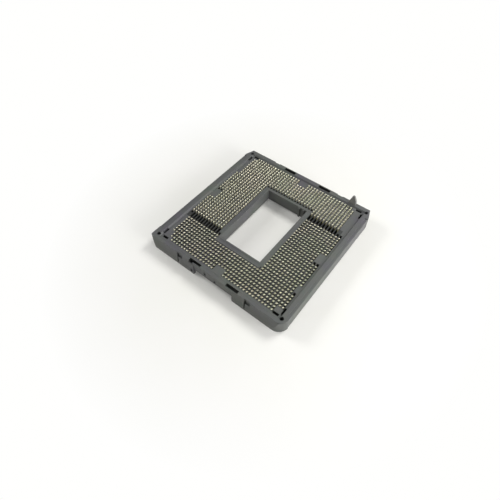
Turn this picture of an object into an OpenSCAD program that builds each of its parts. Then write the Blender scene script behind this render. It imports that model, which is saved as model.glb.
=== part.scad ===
// Land-grid socket body. A moulded housing carries a field of leaning spring
// contacts around an open window, and each contact has a solder ball under it.
// Millimetres. X runs along the front wall, Y to the back wall, Z up from the
// board, and the origin is under the middle of the contact field.

/* [Contact field] */
// Distance between neighbouring contacts, along X and along Y
pitch = 0.9144; // [0.88:0.0002:0.96]
// How far a contact's tip leans out from its tail, along Y
tip_reach = 1.1; // [0.9:0.05:1.2]
// Height of the contact tips above the field floor
tip_rise = 0.3; // [0.15:0.05:0.35]
// Depth of a contact's bend below the field floor
bend_drop = 2; // [1.4:0.1:2.3]
// Where the arm turns flatter: its share of the reach, and its depth below the tip
knee = [0.55, 0.48]; // [0.4:0.01:0.6]
// Width of a contact's strip
strip_w = 0.42; // [0.3:0.01:0.44]
// Thickness of a contact's strip
strip_t = 0.13; // [0.1:0.01:0.2]
// Clear gap on each side of a contact in its slot
slot_gap = 0.13; // [0.05:0.01:0.15]
// Diameter of a solder ball, which is also the height of the feet
ball_d = 0.6; // [0.5:0.05:0.7]

/* [Housing] */
// Thickness of the housing from its underside to the field floor
base_h = 3.5; // [3:0.1:4.5]
// Thickness of the web that closes the contact slots below
web_t = 0.5; // [0.4:0.1:0.8]
// Height of the outer walls above the field floor
wall_rise = 0.4; // [0.35:0.05:1]
// Floor between the outermost contacts and the side walls
side_margin = 0.71; // [0.5:0.01:1]
// Floor between the outermost tips and the front and back walls
end_margin = 0.64; // [0.4:0.01:1]
// How much closer to the tips the back wall starts than the front wall
back_step = 0.25; // [0:0.05:0.3]
// How far the inner faces of the walls lean outward over their height
wall_slope = 0.35; // [0.1:0.05:0.5]
// Thickness of the left and right walls
side_wall_t = 2.15; // [1.8:0.05:2.6]
// Thickness of the front and back walls
end_wall_t = 1.28; // [1.2:0.02:1.8]
// Width of the lowered strip along the outer edge of each side wall
ledge_w = 0.72; // [0.4:0.02:0.9]
// Drop of that strip below the wall's top
ledge_drop = 0.16; // [0.1:0.02:0.3]
// Radius of the two rounded front corners, left and right
corner_r = [0.4, 2.1]; // [0.3:0.1:2.2]
// Sides of the bevels on the two back corners, along X and along Y
bevel = [0.95, 2.6]; // [0.4:0.05:3]
// How far the skirts at the foot of the front and back walls stand out
skirt_t = 0.45; // [0.2:0.05:0.6]
// Heights above the board at which a skirt stops leaning out and starts to
skirt_h = [1.4, 4.2]; // [1:0.1:4.4]
// Length of the middle stretch that has no skirt
skirt_gap = 12.5; // [8:0.5:14]
// Height and depth of the clearance below that stretch
clearance = [0.9, 1]; // [0.4:0.1:1.5]

/* [Openings] */
// Size of the window in the middle of the field, along X and along Y
window = [13, 20.8]; // [12:0.1:13]
// Width of the raised rim around the window
rim_w = 0.5; // [0.2:0.05:0.5]
// Height of that rim above the field floor
rim_rise = 0.1; // [0.05:0.05:0.2]
// Length of the four latch slots in the front and back walls
latch_l = 3.7; // [3:0.1:4.2]
// Widths of the front and of the back latch slots
latch_w = [0.64, 0.9]; // [0.5:0.02:1]
// Distance from the field's middle to the middle of each latch slot
latch_x = 5.95; // [5:0.05:8]
// Depth to which the lips of the left and right front latch slots are cut down
lip_drop = [0.9, 0.35]; // [0.1:0.05:1.5]
// Width and depth of the notches in the top edges of the outer faces
groove = [1.7, 0.2]; // [0.1:0.05:2]
// Height of those notches
groove_h = 1.5; // [0.5:0.1:2.5]
// Distance from the field's middle to the middle of each notch
groove_x = 10.85; // [10:0.05:12]
// Width and height of the narrow slit along one side of each notch
slit = [0.35, 3]; // [0.2:0.05:3.4]
// Width and height of the three small pockets in the front face
pocket = [0.6, 1.1]; // [0.4:0.1:1.4]
// Depth of the slits and pockets
pocket_deep = 0.6; // [0.3:0.1:0.8]

/* [Corners] */
// Diameter of the round locating hole in each corner
hole_d = 1; // [0.6:0.05:1.2]
// Depth of the locating holes
hole_deep = 1.6; // [1:0.1:2.5]
// Length and width of the two small slots beside each hole
relief = [1.75, 0.6]; // [0.4:0.05:2]
// Depth of those slots
relief_deep = 2.2; // [1:0.1:2.5]
// Height, length at its foot and thickness at its foot of the fin at the back
fin = [2.65, 2.3, 0.9]; // [0.6:0.05:3]
// Distance from the field's middle to the fin's point
fin_x = 14.95; // [12:0.05:17]

/* [Hidden] */
rows = 40;
columns = 40;
eps = 0.02;
$fn = 32;

// Rectangles of filled places, as [first row, last row, first column, last column].
// The front group's tips lean to the front wall, the back group's to the back wall.
front_patches = [
  [1, 1, 3, 18], [1, 1, 22, 38], [2, 2, 2, 18], [2, 2, 22, 38], [3, 3, 2, 40],
  [4, 7, 1, 40], [8, 8, 1, 39], [9, 10, 1, 12], [9, 10, 29, 39], [11, 18, 29, 40],
  [19, 22, 29, 38], [23, 30, 29, 40]
];
back_patches = [
  [11, 18, 0, 11], [19, 22, 2, 11], [23, 31, 0, 11], [32, 32, 1, 11],
  [31, 32, 29, 38], [33, 38, 1, 38], [39, 39, 1, 18], [39, 39, 22, 38],
  [40, 40, 2, 18], [40, 40, 22, 37]
];

// Letters of the rows, counted from the front wall
row_names = [
  "A", "B", "C", "D", "E", "F", "G", "H", "J", "K",
  "L", "M", "N", "P", "R", "T", "U", "V", "W", "Y",
  "AA", "AB", "AC", "AD", "AE", "AF", "AG", "AH", "AJ", "AK",
  "AL", "AM", "AN", "AP", "AR", "AT", "AU", "AV", "AW", "AY"
];
rows_per_ball_group = 4;
ball_groups = rows / rows_per_ball_group;

// Heights above the board
under_z = ball_d;
floor_z = under_z + base_h;
slot_z = under_z + web_t;
bend_z = floor_z - bend_drop;
tip_z = floor_z + tip_rise;
top_z = floor_z + wall_rise;

// Places across the field: a column's middle and a row's line of tails
function col_x(c) = (c - columns / 2) * pitch;
function tail_y(k) = (k - (rows + 1) / 2) * pitch;

// Half sizes of the field's floor and of the whole body
in_x = columns / 2 * pitch + side_margin;
in_y = (rows - 1) / 2 * pitch + tip_reach + end_margin;
out_x = in_x + side_wall_t;
out_y = in_y + end_wall_t;

ledge_l = 2 * in_y - 4;
slot_w = strip_w + 2 * slot_gap;
tip_room = 0.15;
tail_room = 0.2;

pad = 2.1;
skirt_root = 0.3;
under_rib = [0.45, 0.4];
under_rib_x = [3.9, 5.3];

// Middles of the corner holes and slots, from the corner of the field's floor inward
hole_at = [-0.72, 0.12];
side_relief_at = [0, 2];
end_relief_at = [1.3, 0.5];
pin_hole_at = [-0.1, 0.9];
pin_hole = [0.4, 0.6];

// How far the middles of the front and back latch slots lie outside the field's floor
latch_out = [0.7, 0.6];

// Middle of each pocket along X and Z, and how far its face stands out from the wall
pockets = [[-6.8, 1.2, skirt_t], [-2.5, 3, 0], [0.65, 2.5, 0]];
slit_z = 0.9;

// Length over which the lip of the left and of the right front latch slot is cut down,
// and the thickness of the wall that stays behind the cut
lip_cut = [1.4, latch_l];
lip_back = 0.4;

function filled(patches, k, c) =
  len([for (p = patches) if (k >= p[0] && k <= p[1] && c >= p[2] && c <= p[3]) 1]) > 0;

// Unbroken runs of filled rows in one column, as [first row, last row]
function starts(patches, c) =
  [for (k = [1:rows]) if (filled(patches, k, c) && !filled(patches, k - 1, c)) k];
function ends(patches, c) =
  [for (k = [1:rows]) if (filled(patches, k, c) && !filled(patches, k + 1, c)) k];

// Length of a slot behind a tail, given the other group and the next row
function room_behind(others, k, c) = filled(others, k, c) ? pitch / 2 + eps : tail_room;

// What lies outside a corner's arc, seen from above
module round_corner(at, r) {
  s = [sign(at[0]), sign(at[1])];
  translate([at[0] - s[0] * r, at[1] - s[1] * r])
    difference() {
      translate([s[0] > 0 ? 0 : -2 * r, s[1] > 0 ? 0 : -2 * r]) square(2 * r);
      circle(r);
    }
}

// The body's outline, grown along Y. Its corners get rounder as it grows, so that
// they run into the ungrown ones.
module outline(grow = 0) {
  y = out_y + grow;
  bevel_x = out_x - bevel[0] * (1 + grow / bevel[1]);
  bevel_y = out_y - bevel[1];
  difference() {
    square([2 * out_x, 2 * y], center = true);
    round_corner([-out_x, -y], corner_r[0] + 1.8 * grow);
    round_corner([out_x, -y], corner_r[1] + 1.8 * grow);
    for (s = [-1, 1])
      scale([s, 1])
        polygon([[bevel_x, y], [out_x, bevel_y], [out_x + 1, bevel_y], [out_x + 1, y + 1],
                 [bevel_x, y + 1]]);
  }
}

// A bar along Y that is centred on X and gets wider or narrower with height, from
// half its width at one height to half its width at another
module tapered_bar(half_low, low, half_high, high) {
  rotate([90, 0, 0])
    linear_extrude(4 * out_x, center = true)
      polygon([[-half_low, low], [half_low, low], [half_high, high], [-half_high, high]]);
}

// The space over the field's floor, between walls that lean outward
module field_space() {
  high = top_z + wall_rise;
  intersection() {
    tapered_bar(in_x, floor_z, in_x + 2 * wall_slope, high);
    translate([0, -back_step / 2, 0])
      rotate([0, 0, 90])
        tapered_bar(in_y - back_step / 2, floor_z, in_y - back_step / 2 + 2 * wall_slope, high);
  }
}

// The leaning lower parts of the front and back walls, apart from their middle stretch,
// with the pads under the corners that hold the housing at the height of the balls
module skirts() {
  difference() {
    intersection() {
      linear_extrude(skirt_h[1]) outline(skirt_t);
      union() {
        cube([3 * out_x, 2 * (out_y + skirt_t), 2 * skirt_h[0]], center = true);
        rotate([0, 0, 90])
          tapered_bar(out_y + skirt_t, skirt_h[0], out_y - eps, skirt_h[1]);
      }
    }
    cube([2 * (out_x - pad), 2 * (out_y - skirt_root), 3 * top_z], center = true);
    cube([3 * out_x, 2 * (out_y - pad), 3 * top_z], center = true);
    cube([skirt_gap, 3 * out_y, 3 * top_z], center = true);
  }
}

// The space under the front and back walls where they have no skirt
module wall_clearance() {
  for (s = [-1, 1])
    translate([0, s * out_y, 0])
      cube([skirt_gap, 2 * clearance[1], 2 * (under_z + clearance[0])], center = true);
}

// The lowered strips along the outer edges of the side walls
module side_ledges() {
  for (s = [-1, 1])
    translate([s * (out_x - ledge_w / 2), 0, top_z])
      cube([ledge_w + eps, ledge_l, 2 * ledge_drop], center = true);
}

module window_rim() {
  translate([0, 0, floor_z - eps])
    linear_extrude(rim_rise + eps)
      square([window[0] + 2 * rim_w, window[1] + 2 * rim_w], center = true);
}

module contact_slot(c, y0, y1) {
  translate([col_x(c) - slot_w / 2, y0, slot_z])
    cube([slot_w, y1 - y0, base_h + 1]);
}

// Slots run on without a break where the tails of the two groups meet
module contact_slots() {
  for (c = [0:columns]) {
    f0 = starts(front_patches, c);
    f1 = ends(front_patches, c);
    for (i = [0:1:len(f0) - 1])
      contact_slot(c, tail_y(f0[i]) - tip_reach - tip_room,
                   tail_y(f1[i]) + room_behind(back_patches, f1[i] + 1, c));
    b0 = starts(back_patches, c);
    b1 = ends(back_patches, c);
    for (i = [0:1:len(b0) - 1])
      contact_slot(c, tail_y(b0[i]) - room_behind(front_patches, b0[i] - 1, c),
                   tail_y(b1[i]) + tip_reach + tip_room);
  }
}

// A round hole and two small slots in each corner, and one pin hole at the front right
module corner_reliefs() {
  middle_z = floor_z + 0.5 - relief_deep / 2;
  for (sx = [-1, 1], sy = [-1, 1])
    scale([sx, sy, 1]) {
      translate([in_x - hole_at[0], in_y - hole_at[1], top_z - hole_deep])
        cylinder(d = hole_d, h = hole_deep + 1);
      translate([in_x - side_relief_at[0], in_y - side_relief_at[1], middle_z])
        cube([relief[1], relief[0], relief_deep + 1], center = true);
      translate([in_x - end_relief_at[0], in_y - end_relief_at[1], middle_z])
        cube([relief[0], relief[1], relief_deep + 1], center = true);
    }
  translate([in_x - pin_hole_at[0], pin_hole_at[1] - in_y, floor_z - pin_hole[1]])
    cylinder(d = pin_hole[0], h = pin_hole[1] + 1);
}

// Four slots through the walls, with the front ones' outer lips cut down
module latch_slots() {
  for (sx = [-1, 1]) {
    translate([sx * latch_x, -in_y - latch_out[0], top_z / 2])
      cube([latch_l, latch_w[0], top_z + 2], center = true);
    translate([sx * latch_x, in_y + latch_out[1], top_z / 2])
      cube([latch_l, latch_w[1], top_z + 2], center = true);
  }
  for (i = [0, 1])
    translate([[-1, 1][i] * latch_x - latch_l / 2, -out_y - 1, top_z - lip_drop[i]])
      cube([lip_cut[i], end_wall_t + 1 - lip_back, 2]);
}

// Shallow notches in the top edges of the front and back faces, each with a deeper slit
// that runs down along one side
module face_grooves() {
  for (s = [-1, 1], sx = [-1, 1])
    scale([s, s, 1]) {
      translate([sx * groove_x - groove[0] / 2, -out_y + groove[1] - 2, top_z - groove_h])
        cube([groove[0], 2, top_z]);
      translate([sx * groove_x - groove[0] / 2, -out_y + pocket_deep - 2, slit_z])
        cube([slit[0], 2, slit[1]]);
    }
}

module front_pockets() {
  for (p = pockets)
    translate([p[0], -out_y - p[2], p[1]])
      cube([pocket[0], 2 * pocket_deep, pocket[1]], center = true);
}

// Short ribs on the window's back wall
module window_ribs() {
  for (x = under_rib_x)
    translate([x, window[1] / 2 - under_rib[1], under_z])
      cube([under_rib[0], under_rib[1] + eps, base_h]);
}

// A fin with a round top, a slanting left flank and a steep right one. Its front
// face leans back, so it gets thinner upward.
module back_fin() {
  l = fin[1];
  h = fin[0];
  r = 0.18 * l;
  translate([fin_x, out_y - 0.1, top_z - eps])
    intersection() {
      rotate([90, 0, 0])
        linear_extrude(fin[2])
          polygon(concat(
            [[-l / 2, 0], [l / 2, 0], [0.42 * l, 0.4 * h]],
            [for (a = [15:25:140]) [r * cos(a), h - r + r * sin(a)]]));
      rotate([90, 0, 90])
        linear_extrude(2 * l, center = true)
          polygon([[-fin[2], -eps], [0, -eps], [0, h + eps], [-0.4 * fin[2], h + eps]]);
    }
}

// The moulded body: walls, floor, window, slots for the contacts and fixings
module housing() {
  color("#55565b")
    difference() {
      union() {
        difference() {
          union() {
            translate([0, 0, under_z]) linear_extrude(top_z - under_z) outline();
            skirts();
          }
          field_space();
          side_ledges();
        }
        window_rim();
        back_fin();
      }
      difference() {
        cube([window[0], window[1], 3 * top_z], center = true);
        window_ribs();
      }
      contact_slots();
      corner_reliefs();
      wall_clearance();
      latch_slots();
      face_grooves();
      front_pockets();
    }
}

// The corner i of a bent line, moved sideways so that both its sides keep the distance d
function unit(v) = v / norm(v);
function beside(line, i, d) =
  let (last = len(line) - 1)
  let (before = unit(line[max(i, 1)] - line[max(i, 1) - 1]))
  let (after = unit(line[min(i, last - 1) + 1] - line[min(i, last - 1)]))
  let (side = unit([-before[1] - after[1], before[0] + after[0]]))
  line[i] + side * d / (side * [-before[1], before[0]]);

// One stamped contact, seen from the side and given its width along X: a foot on the
// web, an upright tail, a steep arm and a flatter end
module contact(c, k, lean) {
  middle = [
    [0, slot_z], [0, bend_z],
    [lean * knee[0] * tip_reach, tip_z - knee[1]], [lean * tip_reach, tip_z - strip_t / 2]
  ];
  n = len(middle) - 1;
  translate([col_x(c) - strip_w / 2, tail_y(k), 0])
    rotate([90, 0, 90])
      linear_extrude(strip_w)
        polygon(concat([for (i = [0:n]) beside(middle, i, strip_t / 2)],
                       [for (i = [n:-1:0]) beside(middle, i, -strip_t / 2)]));
}

module contact_row(k) {
  color("#b9b08a")
    for (c = [0:columns]) {
      if (filled(front_patches, k, c)) contact(c, k, -1);
      if (filled(back_patches, k, c)) contact(c, k, 1);
    }
}

module solder_ball(c, k) {
  translate([col_x(c), tail_y(k), ball_d / 2]) sphere(d = ball_d, $fn = 14);
}

// The balls under one group of neighbouring rows
module ball_group(g) {
  color("#c9ccd0")
    for (k = [(g - 1) * rows_per_ball_group + 1 : g * rows_per_ball_group], c = [0:columns])
      if (filled(front_patches, k, c) || filled(back_patches, k, c)) solder_ball(c, k);
}

housing();
for (k = [1:rows])
  contact_row(k);
for (g = [1:ball_groups])
  ball_group(g);
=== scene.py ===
"""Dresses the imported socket: spring contacts, solder, moulded plastic, floor, lamps and camera.

Blender lengths are metres. Sizes below are in millimetres where a name ends in _MM.
"""
import math
import random

import bmesh
import bpy
from mathutils import Matrix, Vector

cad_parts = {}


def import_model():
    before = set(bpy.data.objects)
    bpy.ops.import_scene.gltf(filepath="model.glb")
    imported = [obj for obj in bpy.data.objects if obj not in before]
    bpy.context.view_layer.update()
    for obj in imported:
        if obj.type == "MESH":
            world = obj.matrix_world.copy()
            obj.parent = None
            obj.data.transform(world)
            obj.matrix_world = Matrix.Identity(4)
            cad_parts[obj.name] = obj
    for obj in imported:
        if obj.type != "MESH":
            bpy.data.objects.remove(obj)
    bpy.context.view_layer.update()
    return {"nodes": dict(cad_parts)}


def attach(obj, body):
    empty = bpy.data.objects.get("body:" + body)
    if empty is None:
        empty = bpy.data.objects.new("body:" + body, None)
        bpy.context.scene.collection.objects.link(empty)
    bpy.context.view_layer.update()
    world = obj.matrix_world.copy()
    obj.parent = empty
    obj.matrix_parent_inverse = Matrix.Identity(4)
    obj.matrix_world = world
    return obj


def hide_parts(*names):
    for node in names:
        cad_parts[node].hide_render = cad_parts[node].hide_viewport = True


MM = 0.001

# How a contact's strip changes from its bend to the end of its tip. Each station is a
# share of that length, the width there and how far the strip's middle stands up, both
# as shares of the strip's full width.
CONTACT_STATIONS = [
    (0.00, 1.46, 0.00),
    (0.42, 1.44, 0.00),
    (0.60, 1.24, 0.00),
    (0.72, 0.98, 0.02),
    (0.82, 0.98, 0.07),
    (0.93, 0.98, 0.09),
    (0.975, 0.86, 0.06),
    (1.00, 0.60, 0.00),
]
# Thickness of the strip, and where the points across its width lie, as shares of it.
STRIP_T_MM = 0.08
STRIP_SPREAD = (-0.5, -0.32, 0.0, 0.32, 0.5)
# Share of its thickness that the strip keeps at its two edges.
EDGE_SHARE = 0.8
# Longest piece of the strip between two rings of points.
STRIP_STEP_MM = 0.3
# Length that the rounding of a bend takes up, and how far the crest lies before the tip.
CORNER_ROUND_MM = 0.16
CREST_MM = 0.10
# How far the strip's end reaches past the tip and down from the crest.
NOSE_MM = (0.10, 0.15)
# Most that a tip sways to a side or sinks.
SCATTER_MM = 0.012
# Solids of a row that lie farther apart than this along X are two contacts.
CONTACT_GAP_MM = 0.45
# How far below the knee the painted highlight begins to pale the metal, and the heights,
# measured from there, between which painted shade darkens the arm in its slot.
PAINTED_HIGHLIGHT_BELOW_KNEE_MM = 0.5
PAINTED_ARM_SHADE_MM = (-0.5, 0.4)

# Each lamp's name, place and side in metres, and power in watts.
LAMPS = [
    ("key", (0.12, 0.26, 0.36), 0.16, 1.24),
    ("left", (-0.40, -0.08, 0.28), 0.16, 0.99),
    ("low_right", (0.42, -0.05, 0.09), 0.16, 0.63),
    ("near_right", (0.15, 0.0, 0.06), 0.06, 0.116),
]
AMBIENT = 0.20

# Half sizes of the contact field and of the window with its rim, and the heights between
# which painted shade darkens the slots' walls.
FIELD_HALF_MM = (19.0, 19.6)
WINDOW_HALF_MM = (7.0, 10.9)
PAINTED_SLOT_SHADE_MM = (3.3, 4.05)
# Two opposite corners of each band of bare slots between the groups of contacts, seen
# from above, in contact pitches, where shade is painted on the ribs between the slots.
PITCH_MM = 0.9144
BARE_SLOTS = [
    ((-20.5, -11.2), (-8.5, -8.6)),
    ((8.5, 9.0), (19.6, 11.4)),
]
# Strength of the painted shade on the ribs between the bare slots.
PAINTED_BARE_SLOT_SHADE = 0.75
# Ends of the latch slots along X on either side, along Y in the front and in the back
# wall, and the height below which shade is painted in them.
LATCH_X_MM = (4.07, 7.83)
LATCH_Y_MM = ((-20.62, -19.92), (19.69, 20.65))
LATCH_TOP_MM = 4.42
# Strength of the painted shade in the latch slots.
PAINTED_LATCH_SHADE = 0.85
# Colour of the shade painted in the slots.
PAINTED_SLOT_SHADE_COLOUR = (0.012, 0.013, 0.011, 1)
# The fin on the back wall lies between these heights, and has a lighter colour painted on
# it as painted light.
FIN_MM = (4.6, 8.0)
# Lighter colour painted on the fin, standing in for light on its front face.
PAINTED_FIN_LIGHT_COLOUR = (0.19, 0.19, 0.18, 1)
EDGE_ROUND_MM = 0.14
# Two opposite corners of the lip along the front of the window's rim.
LIP_MM = ((-7.35, -11.9, 3.85), (7.35, -10.9, 4.108))

# The table: how much of it glows near the part, its colours, and the distances from the
# part's middle between which it fades to plain white, in metres.
FLOOR_GLOW = 0.10
FLOOR_COLOUR = (0.86, 0.855, 0.80, 1)
FLOOR_OTHER_COLOUR = (0.88, 0.87, 0.83, 1)
FLOOR_FADE = (0.026, 0.058)

CAMERA_MM = (39.81, -51.86, 85.20)
CAMERA_TARGET_MM = (1.714, -1.859, 4.4)
CAMERA_ROLL_DEG = 0.13
CAMERA_LENS = 28.2
CAMERA_SHIFT = (-0.031, -0.039)


# ---------------------------------------------------------------- small helpers


def new_material(name):
    """A material with an empty node tree and its output node."""
    made = bpy.data.materials.new(name)
    made.use_nodes = True
    tree = made.node_tree
    tree.nodes.clear()
    return made, tree, tree.nodes.new("ShaderNodeOutputMaterial")


def link(tree, source, target):
    tree.links.new(source, target)


def noise(tree, coords, scale, detail=3.0, roughness=0.5):
    """A noise texture's factor output."""
    node = tree.nodes.new("ShaderNodeTexNoise")
    node.inputs["Scale"].default_value = scale
    node.inputs["Detail"].default_value = detail
    node.inputs["Roughness"].default_value = roughness
    link(tree, coords, node.inputs["Vector"])
    return node.outputs["Fac"]


def spread(tree, value, low, high, to_low, to_high):
    """Maps a value from one range to another, with its ends held."""
    node = tree.nodes.new("ShaderNodeMapRange")
    node.inputs["From Min"].default_value = low
    node.inputs["From Max"].default_value = high
    node.inputs["To Min"].default_value = to_low
    node.inputs["To Max"].default_value = to_high
    link(tree, value, node.inputs["Value"])
    return node.outputs["Result"]


def mix_colours(tree, factor, first, second):
    """Mixes two colours, each of them a socket or four numbers."""
    node = tree.nodes.new("ShaderNodeMix")
    node.data_type = "RGBA"
    link(tree, factor, node.inputs["Factor"])
    for socket, colour in ((node.inputs[6], first), (node.inputs[7], second)):
        if isinstance(colour, bpy.types.NodeSocket):
            link(tree, colour, socket)
        else:
            socket.default_value = colour
    return node.outputs[2]


def bump(tree, height, strength, distance, normal=None):
    node = tree.nodes.new("ShaderNodeBump")
    node.inputs["Strength"].default_value = strength
    node.inputs["Distance"].default_value = distance
    link(tree, height, node.inputs["Height"])
    if normal is not None:
        link(tree, normal, node.inputs["Normal"])
    return node.outputs["Normal"]


def object_coords(tree):
    return tree.nodes.new("ShaderNodeTexCoord").outputs["Object"]


def height_of(tree, coords):
    return part_of(tree, coords, "Z")


def part_of(tree, coords, axis):
    node = tree.nodes.new("ShaderNodeSeparateXYZ")
    link(tree, coords, node.inputs["Vector"])
    return node.outputs[axis]


def maths(tree, operation, *values):
    """One maths node, with each value a socket or a number."""
    node = tree.nodes.new("ShaderNodeMath")
    node.operation = operation
    for socket, value in zip(node.inputs, values):
        if isinstance(value, bpy.types.NodeSocket):
            link(tree, value, socket)
        else:
            socket.default_value = value
    return node.outputs[0]


def between(tree, coords, axis, low_mm, high_mm):
    """1 where one coordinate lies between two lengths, and 0 outside."""
    value = part_of(tree, coords, axis)
    return maths(tree, "MULTIPLY", maths(tree, "GREATER_THAN", value, low_mm * MM),
                 maths(tree, "LESS_THAN", value, high_mm * MM))


def in_box(tree, coords, low_mm, high_mm):
    """1 inside a box given by two or three coordinates of two corners, and 0 outside."""
    inside = between(tree, coords, "X", low_mm[0], high_mm[0])
    for axis, low, high in zip("YZ", low_mm[1:], high_mm[1:]):
        inside = maths(tree, "MULTIPLY", inside, between(tree, coords, axis, low, high))
    return inside


def around_middle(tree, coords, half_mm):
    return in_box(tree, coords, [-half for half in half_mm], half_mm)


# ---------------------------------------------------------------- materials


def latch_boxes():
    """Two opposite corners of each of the four latch slots."""
    for y0, y1 in LATCH_Y_MM:
        for side in (-1, 1):
            x0, x1 = sorted(side * x for x in LATCH_X_MM)
            yield (x0, y0, 0), (x1, y1, LATCH_TOP_MM)


def painted_slot_shade(tree, coords):
    """How much shade is painted on the plastic where shade falls: deep in the contact slots,
    between the bare slots and in the latch slots."""
    field = maths(tree, "SUBTRACT", around_middle(tree, coords, FIELD_HALF_MM),
                  around_middle(tree, coords, WINDOW_HALF_MM))
    low, high = (height * MM for height in PAINTED_SLOT_SHADE_MM)
    depth = spread(tree, height_of(tree, coords), low, high, 1, 0)
    shade = maths(tree, "MULTIPLY", field, depth)
    bare = [[[n * PITCH_MM for n in corner] for corner in band] for band in BARE_SLOTS]
    boxes = [(corners, PAINTED_BARE_SLOT_SHADE) for corners in bare]
    boxes += [(corners, PAINTED_LATCH_SHADE) for corners in latch_boxes()]
    for corners, strength in boxes:
        inside = in_box(tree, coords, *corners)
        shade = maths(tree, "MAXIMUM", shade, maths(tree, "MULTIPLY", inside, strength))
    return shade


def moulded_plastic():
    """Dark grey glass-filled plastic, faintly mottled, with softly rounded edges, painted darker
    in its slots as painted shade and painted lighter on the fin as painted light.
    """
    made, tree, output = new_material("moulded_plastic")
    coords = object_coords(tree)
    clouds = spread(tree, noise(tree, coords, 130, 4), 0.35, 0.65, 0, 1)
    tint = spread(tree, noise(tree, coords, 420, 3), 0.35, 0.65, 0, 1)
    base = mix_colours(tree, clouds, (0.088, 0.091, 0.091, 1), (0.112, 0.115, 0.103, 1))
    other = mix_colours(tree, clouds, (0.101, 0.095, 0.110, 1), (0.093, 0.108, 0.093, 1))
    body = mix_colours(tree, tint, base, other)
    # Painted shade: darkens the plastic deep in the slots, on the bare ribs and in the latch
    # slots.
    body = mix_colours(tree, painted_slot_shade(tree, coords), body, PAINTED_SLOT_SHADE_COLOUR)
    # Painted light: the fin is coloured lighter than the rest of the plastic.
    body = mix_colours(tree, between(tree, coords, "Z", *FIN_MM), body, PAINTED_FIN_LIGHT_COLOUR)

    rounded = tree.nodes.new("ShaderNodeBevel")
    rounded.samples = 4
    rounded.inputs["Radius"].default_value = EDGE_ROUND_MM * MM
    fibres = noise(tree, coords, 5200, 2)
    pores = noise(tree, coords, 14000, 1)
    coarse = bump(tree, fibres, 0.30, 0.02 * MM, rounded.outputs["Normal"])
    fine = bump(tree, pores, 0.25, 0.01 * MM, coarse)

    shader = tree.nodes.new("ShaderNodeBsdfPrincipled")
    shader.inputs["IOR"].default_value = 1.5
    link(tree, body, shader.inputs["Base Color"])
    link(tree, spread(tree, clouds, 0, 1, 0.40, 0.52), shader.inputs["Roughness"])
    link(tree, fine, shader.inputs["Normal"])
    link(tree, shader.outputs["BSDF"], output.inputs["Surface"])
    return made


def plated_contact(low, high):
    """Olive metal, painted pale towards the tip as a painted highlight, and painted dark low on
    the arm as painted shade in its slot.
    """
    made, tree, output = new_material("plated_contact")
    coords = object_coords(tree)
    # Painted highlight: the metal turns pale from below the knee up to the tip.
    climb = spread(tree, height_of(tree, coords), low, high, 0, 1)
    grain = spread(tree, noise(tree, coords, 900, 2), 0.3, 0.7, 0, 1)
    cast = spread(tree, noise(tree, coords, 160, 2), 0.35, 0.65, 0, 1)
    arm = mix_colours(tree, grain, (0.64, 0.60, 0.38, 1), (0.74, 0.70, 0.47, 1))
    # Pale colours of the painted highlight at the tip.
    tip = mix_colours(tree, grain, (0.93, 0.85, 0.65, 1), (0.97, 0.92, 0.76, 1))
    green = mix_colours(tree, grain, (0.86, 0.86, 0.64, 1), (0.93, 0.93, 0.74, 1))
    tip = mix_colours(tree, cast, tip, green)
    # Painted shade: the arm turns dark low down in its slot.
    start, end = (low + step * MM for step in PAINTED_ARM_SHADE_MM)
    deep = spread(tree, height_of(tree, coords), start, end, 1, 0)
    arm = mix_colours(tree, deep, arm, (0.10, 0.10, 0.07, 1))
    plating_with_painted_light = mix_colours(tree, climb, arm, tip)

    shader = tree.nodes.new("ShaderNodeBsdfPrincipled")
    shader.inputs["Metallic"].default_value = 1.0
    link(tree, plating_with_painted_light, shader.inputs["Base Color"])
    link(tree, spread(tree, grain, 0, 1, 0.34, 0.46), shader.inputs["Roughness"])
    link(tree, bump(tree, noise(tree, coords, 9000, 2), 0.15, 0.005 * MM),
         shader.inputs["Normal"])
    link(tree, shader.outputs["BSDF"], output.inputs["Surface"])
    return made


def dull_solder():
    """Grey tin alloy, slightly grainy."""
    made, tree, output = new_material("dull_solder")
    coords = object_coords(tree)
    grain = spread(tree, noise(tree, coords, 4000, 4), 0.3, 0.7, 0, 1)
    colour = mix_colours(tree, grain, (0.55, 0.56, 0.58, 1), (0.72, 0.73, 0.74, 1))
    shader = tree.nodes.new("ShaderNodeBsdfPrincipled")
    shader.inputs["Metallic"].default_value = 1.0
    link(tree, colour, shader.inputs["Base Color"])
    link(tree, spread(tree, grain, 0, 1, 0.30, 0.48), shader.inputs["Roughness"])
    link(tree, bump(tree, grain, 0.12, 0.01 * MM), shader.inputs["Normal"])
    link(tree, shader.outputs["BSDF"], output.inputs["Surface"])
    return made


def seen_directly_or_mirrored(tree):
    """1 for camera, glossy and transmission rays, and 0 for the rest."""
    path = tree.nodes.new("ShaderNodeLightPath")
    total = path.outputs["Is Camera Ray"]
    for name in ("Is Glossy Ray", "Is Transmission Ray"):
        total = maths(tree, "MAXIMUM", total, path.outputs[name])
    return total


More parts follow.
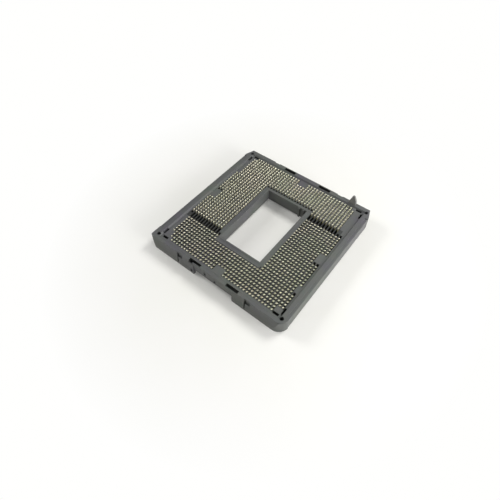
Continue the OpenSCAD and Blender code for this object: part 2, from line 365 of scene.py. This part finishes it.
def white_table():
    """A warm white table top, which glows more and more away from the part, for the
    camera and in mirrored light."""
    made, tree, output = new_material("white_table")
    coords = object_coords(tree)
    diffuse = tree.nodes.new("ShaderNodeBsdfDiffuse")
    grain = spread(tree, noise(tree, coords, 60, 3), 0.3, 0.7, 0, 1)
    link(tree, mix_colours(tree, grain, FLOOR_COLOUR, FLOOR_OTHER_COLOUR),
         diffuse.inputs["Color"])
    glow = tree.nodes.new("ShaderNodeEmission")
    glow.inputs["Color"].default_value = (1.0, 1.0, 0.99, 1)
    glow.inputs["Strength"].default_value = 1.0
    away = tree.nodes.new("ShaderNodeVectorMath")
    away.operation = "LENGTH"
    link(tree, coords, away.inputs[0])
    share = spread(tree, away.outputs["Value"], *FLOOR_FADE, FLOOR_GLOW, 1.0)
    factor = maths(tree, "MULTIPLY", seen_directly_or_mirrored(tree), share)
    both = tree.nodes.new("ShaderNodeMixShader")
    link(tree, factor, both.inputs["Fac"])
    link(tree, diffuse.outputs["BSDF"], both.inputs[1])
    link(tree, glow.outputs["Emission"], both.inputs[2])
    link(tree, both.outputs["Shader"], output.inputs["Surface"])
    return made


def dress(thing, material):
    thing.data.materials.clear()
    thing.data.materials.append(material)


# ---------------------------------------------------------------- contacts


def contact_places(node):
    """Each contact of a CAD row, read from its solid: its width and its middle line."""
    points = sorted((tuple(v.co) for v in node.data.vertices), key=lambda p: p[0])
    groups = []
    for point in points:
        if groups and point[0] - groups[-1][-1][0] < CONTACT_GAP_MM * MM:
            groups[-1].append(point)
        else:
            groups.append([point])
    return [contact_place(group) for group in groups]


def middle_of(points):
    """The middle of some points of a contact, along Y and Z."""
    return tuple(sum(p[i] for p in points) / len(points) for i in (1, 2))


def contact_place(group):
    """One contact's place along X, its width, and its foot, bend, knee and tip."""
    xs = [p[0] for p in group]
    low = min(p[2] for p in group)
    foot = middle_of([p for p in group if p[2] < low + 0.1 * MM])
    away = lambda p: abs(p[1] - foot[0])
    reach = max(away(p) for p in group)
    above = [p for p in group if p[2] > low + 0.1 * MM]
    return {
        "x": (min(xs) + max(xs)) / 2, "width": max(xs) - min(xs), "foot": foot,
        "bend": middle_of([p for p in above if away(p) < 0.25 * reach]),
        "knee": middle_of([p for p in above if 0.25 * reach < away(p) < 0.75 * reach]),
        "tip": middle_of([p for p in above if away(p) > 0.75 * reach]),
        "top": max(p[2] for p in group),
    }


def rounded(line, radius):
    """A bent line with three points in place of each inner corner."""
    made = [line[0]]
    for before, corner, after in zip(line, line[1:], line[2:]):
        start = corner + (before - corner).normalized() * radius
        end = corner + (after - corner).normalized() * radius
        made += [start, (start + end) / 4 + corner / 2, end]
    return made + [line[-1]]


def strip_line(place):
    """The strip's middle line from the foot to the end, bent over a crest at the tip."""
    foot, bend, knee, tip = (Vector(place[k]) for k in ("foot", "bend", "knee", "tip"))
    forward = math.copysign(1, tip.x - foot.x)
    crest = Vector((tip.x - forward * CREST_MM * MM, place["top"] - STRIP_T_MM * MM / 2))
    end = Vector((tip.x + forward * NOSE_MM[0] * MM, crest.y - NOSE_MM[1] * MM))
    return rounded([foot, bend, knee, crest, end], CORNER_ROUND_MM * MM / 2)


def widths_along(line, place):
    """Width and crown at each point of the line, taken from the stations."""
    lengths = [0.0]
    for before, after in zip(line, line[1:]):
        lengths.append(lengths[-1] + (after - before).length)
    from_bend = place["bend"][1] - line[0].y
    made = []
    for length in lengths:
        share = (length - from_bend) / (lengths[-1] - from_bend)
        made.append(station_at(max(0.0, min(1.0, share))))
    return made


def station_at(share):
    for (s0, w0, c0), (s1, w1, c1) in zip(CONTACT_STATIONS, CONTACT_STATIONS[1:]):
        if share <= s1:
            t = (share - s0) / (s1 - s0)
            return w0 + (w1 - w0) * t, c0 + (c1 - c0) * t
    return CONTACT_STATIONS[-1][1:]


def split_long(line, longest):
    """The same line with points added, so that no piece is longer than the limit."""
    made = [line[0]]
    for before, after in zip(line, line[1:]):
        parts = max(1, math.ceil((after - before).length / longest))
        made += [before + (after - before) * (i / parts) for i in range(1, parts + 1)]
    return made


def add_strip(place, rng, vertices, faces):
    """Adds one contact: a ring of points round the strip at each point of its line."""
    line = split_long(strip_line(place), STRIP_STEP_MM * MM)
    ring = 2 * len(STRIP_SPREAD)
    first = len(vertices)
    sway = rng.uniform(-SCATTER_MM, SCATTER_MM) * MM
    lift = rng.uniform(-SCATTER_MM, 0.0) * MM
    climb = place["top"] - place["bend"][1]
    half = STRIP_T_MM * MM / 2
    forward = math.copysign(1, place["tip"][0] - place["foot"][0])
    for i, (point, (width, crown)) in enumerate(zip(line, widths_along(line, place))):
        before, after = line[max(i - 1, 0)], line[min(i + 1, len(line) - 1)]
        along = (after - before).normalized()
        outward = Vector((0, -along.y, along.x)) * forward
        share = max(0.0, (point.y - place["bend"][1]) / climb)
        middle = Vector((place["x"] + sway * share, point.x, point.y + lift * share))
        for side, order in ((1, STRIP_SPREAD), (-1, STRIP_SPREAD[::-1])):
            for across in order:
                edge = EDGE_SHARE if abs(across) == 0.5 else 1.0
                raised = crown * place["width"] * (1 - (2 * across) ** 2)
                vertices.append(middle + Vector((across * width * place["width"], 0, 0))
                                + outward * (side * half * edge + raised))
    for i in range(len(line) - 1):
        for j in range(ring):
            a = first + i * ring + j
            b = first + i * ring + (j + 1) % ring
            faces.append((a, b, b + ring, a + ring))
    last = first + (len(line) - 1) * ring
    faces.append(tuple(first + j for j in reversed(range(ring))))
    faces.append(tuple(last + j for j in range(ring)))


def contact_row(name, node, material):
    """One row of detailed contacts, which stands for the CAD row of that name."""
    rng = random.Random(name)
    vertices, faces = [], []
    for place in contact_places(node):
        add_strip(place, rng, vertices, faces)
    mesh = bpy.data.meshes.new(name)
    mesh.from_pydata(vertices, [], faces)
    mesh.validate()
    mesh.update()
    piece = bpy.data.objects.new(name, mesh)
    bpy.context.scene.collection.objects.link(piece)
    recalculate_normals(mesh)
    mesh.shade_smooth()
    mesh.set_sharp_from_angle(angle=math.radians(50))
    dress(piece, material)
    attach(piece, "root")
    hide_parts(node.name)
    return piece


def recalculate_normals(mesh):
    work = bmesh.new()
    work.from_mesh(mesh)
    bmesh.ops.recalc_face_normals(work, faces=work.faces)
    work.to_mesh(mesh)
    work.free()


# ---------------------------------------------------------------- the set


def window_lip(material):
    """A thin lip of the window's rim over the slots' ends, which are open in the solids."""
    low, high = LIP_MM
    bpy.ops.mesh.primitive_cube_add(size=1.0)
    lip = bpy.context.object
    lip.name = "window_front_lip"
    for vertex in lip.data.vertices:
        for axis in range(3):
            end = high if vertex.co[axis] > 0 else low
            vertex.co[axis] = end[axis] * MM
    dress(lip, material)
    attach(lip, "root")


def add_floor():
    bpy.ops.mesh.primitive_plane_add(size=3.0, location=(0, 0, 0))
    floor = bpy.context.object
    floor.name = "table_top"
    dress(floor, white_table())


def add_lamp(name, place, side, power):
    """A square white lamp that faces the part and isn't seen itself."""
    data = bpy.data.lights.new(name, "AREA")
    data.size = side
    data.energy = power
    lamp = bpy.data.objects.new(name, data)
    lamp.location = place
    lamp.rotation_euler = (-Vector(place)).to_track_quat("-Z", "Y").to_euler()
    lamp.visible_camera = False
    bpy.context.scene.collection.objects.link(lamp)


def add_world(ambient):
    world = bpy.data.worlds.new("studio")
    bpy.context.scene.world = world
    world.use_nodes = True
    tree = world.node_tree
    tree.nodes.clear()
    output = tree.nodes.new("ShaderNodeOutputWorld")
    soft = tree.nodes.new("ShaderNodeBackground")
    soft.inputs["Color"].default_value = (1.0, 1.0, 1.0, 1)
    soft.inputs["Strength"].default_value = ambient
    white = tree.nodes.new("ShaderNodeBackground")
    white.inputs["Color"].default_value = (1, 1, 1, 1)
    white.inputs["Strength"].default_value = 1.0
    both = tree.nodes.new("ShaderNodeMixShader")
    path = tree.nodes.new("ShaderNodeLightPath")
    link(tree, path.outputs["Is Camera Ray"], both.inputs["Fac"])
    link(tree, soft.outputs["Background"], both.inputs[1])
    link(tree, white.outputs["Background"], both.inputs[2])
    link(tree, both.outputs["Shader"], output.inputs["Surface"])


def add_camera():
    data = bpy.data.cameras.new("camera")
    data.lens = CAMERA_LENS
    data.sensor_width = 36
    data.shift_x, data.shift_y = CAMERA_SHIFT
    data.clip_start = 0.001
    data.clip_end = 20
    camera = bpy.data.objects.new("camera", data)
    place = Vector(CAMERA_MM) * MM
    aim = Vector(CAMERA_TARGET_MM) * MM - place
    turn = aim.to_track_quat("-Z", "Y").to_matrix().to_4x4()
    roll = Matrix.Rotation(math.radians(CAMERA_ROLL_DEG), 4, "Z")
    camera.matrix_world = Matrix.Translation(place) @ turn @ roll
    bpy.context.scene.collection.objects.link(camera)
    bpy.context.scene.camera = camera


def main():
    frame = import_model()
    nodes = frame["nodes"]
    add_camera()

    rows = sorted(n for n in nodes if n.startswith("contacts_row_"))
    first = contact_places(nodes[rows[0]])[0]
    metal = plated_contact(first["knee"][1] - PAINTED_HIGHLIGHT_BELOW_KNEE_MM * MM, first["top"])
    for name in rows:
        contact_row(name.replace("contacts_row", "spring_contacts"), nodes[name], metal)

    plastic = moulded_plastic()
    dress(nodes["housing"], plastic)
    window_lip(plastic)
    solder = dull_solder()
    for name in nodes:
        if name.startswith("solder_balls_"):
            dress(nodes[name], solder)
        if name in rows:
            dress(nodes[name], metal)

    add_floor()
    for name, place, side, power in LAMPS:
        add_lamp(name, place, side, power)
    add_world(AMBIENT)

    scene = bpy.context.scene
    scene.view_settings.view_transform = "Standard"


main()
